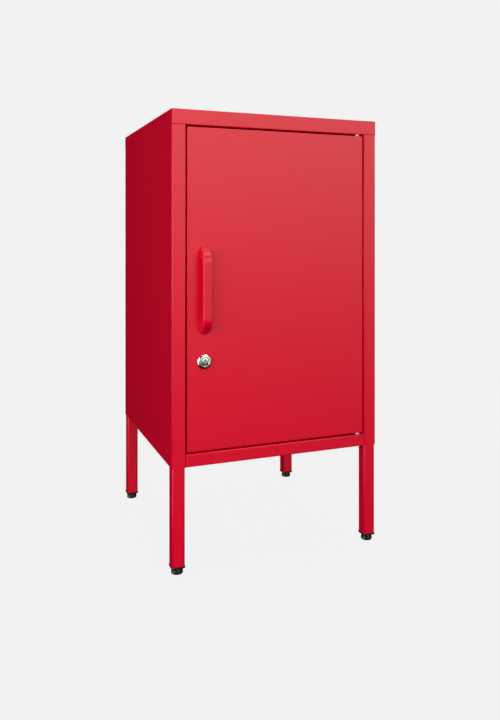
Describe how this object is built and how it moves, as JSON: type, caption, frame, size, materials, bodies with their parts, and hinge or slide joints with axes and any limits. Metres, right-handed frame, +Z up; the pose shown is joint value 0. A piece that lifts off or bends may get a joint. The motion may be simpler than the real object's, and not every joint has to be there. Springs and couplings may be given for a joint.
{
  "type": "bedside storage cabinet",
  "caption": "Steel bedside cabinet: a square case on tube legs with a hinged door, arched pull, cam lock, lift-off shelf and levelling feet.",
  "frame": {"origin": "floor level, middle of the overall box including the pull", "axes": "+Z up, -Y out of the door, +X to the right of someone facing the door"},
  "size_m": [0.35, 0.3714, 0.7],
  "materials": {
    "red_powder_coat": "semi-gloss powder coat",
    "black_moulding": "fine moulded matt",
    "white_nylon": "satin",
    "chrome": "polished plate",
    "zinc_steel": "bright zinc plate",
    "black_rubber": "matt"
  },
  "bodies": {
    "case": {"top_cap": "red_powder_coat", "bottom_panel": "red_powder_coat", "back_panel": "red_powder_coat", "side_panel_left": "red_powder_coat", "side_panel_right": "red_powder_coat", "leg_front_left": "red_powder_coat", "leg_insert_front_left": "black_moulding", "shelf_strip_front_left": "red_powder_coat", "shelf_clip_front_left": "zinc_steel", "leg_rear_left": "red_powder_coat", "leg_insert_rear_left": "black_moulding", "shelf_strip_rear_left": "red_powder_coat", "shelf_clip_rear_left": "zinc_steel", "leg_front_right": "red_powder_coat", "leg_insert_front_right": "black_moulding", "shelf_strip_front_right": "red_powder_coat", "shelf_clip_front_right": "zinc_steel", "leg_rear_right": "red_powder_coat", "leg_insert_rear_right": "black_moulding", "shelf_strip_rear_right": "red_powder_coat", "shelf_clip_rear_right": "zinc_steel", "hinge_bush_upper": "white_nylon", "hinge_bush_lower": "white_nylon", "door_stop_upper": "red_powder_coat", "door_stop_lower": "red_powder_coat", "door_buffer_upper": "black_rubber", "door_buffer_lower": "black_rubber"},
    "door": {"door_skin": "red_powder_coat", "door_rib": "red_powder_coat", "pull": "red_powder_coat", "pull_screw_upper": "zinc_steel", "pull_screw_lower": "zinc_steel", "hinge_pin_upper": "zinc_steel", "hinge_pin_lower": "zinc_steel", "lock_barrel": "chrome", "lock_nut": "zinc_steel"},
    "lock": {"lock_plug": "chrome", "lock_cam": "zinc_steel", "cam_screw": "zinc_steel"},
    "shelf": {"shelf": "red_powder_coat"},
    "foot_front_left": {"foot_stud_front_left": "zinc_steel", "foot_pad_front_left": "black_moulding"},
    "foot_rear_left": {"foot_stud_rear_left": "zinc_steel", "foot_pad_rear_left": "black_moulding"},
    "foot_front_right": {"foot_stud_front_right": "zinc_steel", "foot_pad_front_right": "black_moulding"},
    "foot_rear_right": {"foot_stud_rear_right": "zinc_steel", "foot_pad_rear_right": "black_moulding"}
  },
  "joints": [
    {"name": "door_hinge", "type": "hinge", "parent": "case", "child": "door", "pos_m": [0.143, -0.15925, 0.428], "axis": [0, 0, 1], "range_deg": [0, 110]},
    {"name": "lock_turn", "type": "hinge", "parent": "door", "child": "lock", "pos_m": [-0.1248, -0.16425, 0.3182], "axis": [0, 1, 0], "range_deg": [0, 90]},
    {"name": "shelf_lift", "type": "slide", "parent": "case", "child": "shelf", "axis": [0, 0, 1], "range_m": [0, 0.02]},
    {"name": "foot_front_left_screw", "type": "slide", "parent": "case", "child": "foot_front_left", "axis": [0, 0, -1], "range_m": [0, 0.012]},
    {"name": "foot_rear_left_screw", "type": "slide", "parent": "case", "child": "foot_rear_left", "axis": [0, 0, -1], "range_m": [0, 0.012]},
    {"name": "foot_front_right_screw", "type": "slide", "parent": "case", "child": "foot_front_right", "axis": [0, 0, -1], "range_m": [0, 0.012]},
    {"name": "foot_rear_right_screw", "type": "slide", "parent": "case", "child": "foot_rear_right", "axis": [0, 0, -1], "range_m": [0, 0.012]}
  ]
}
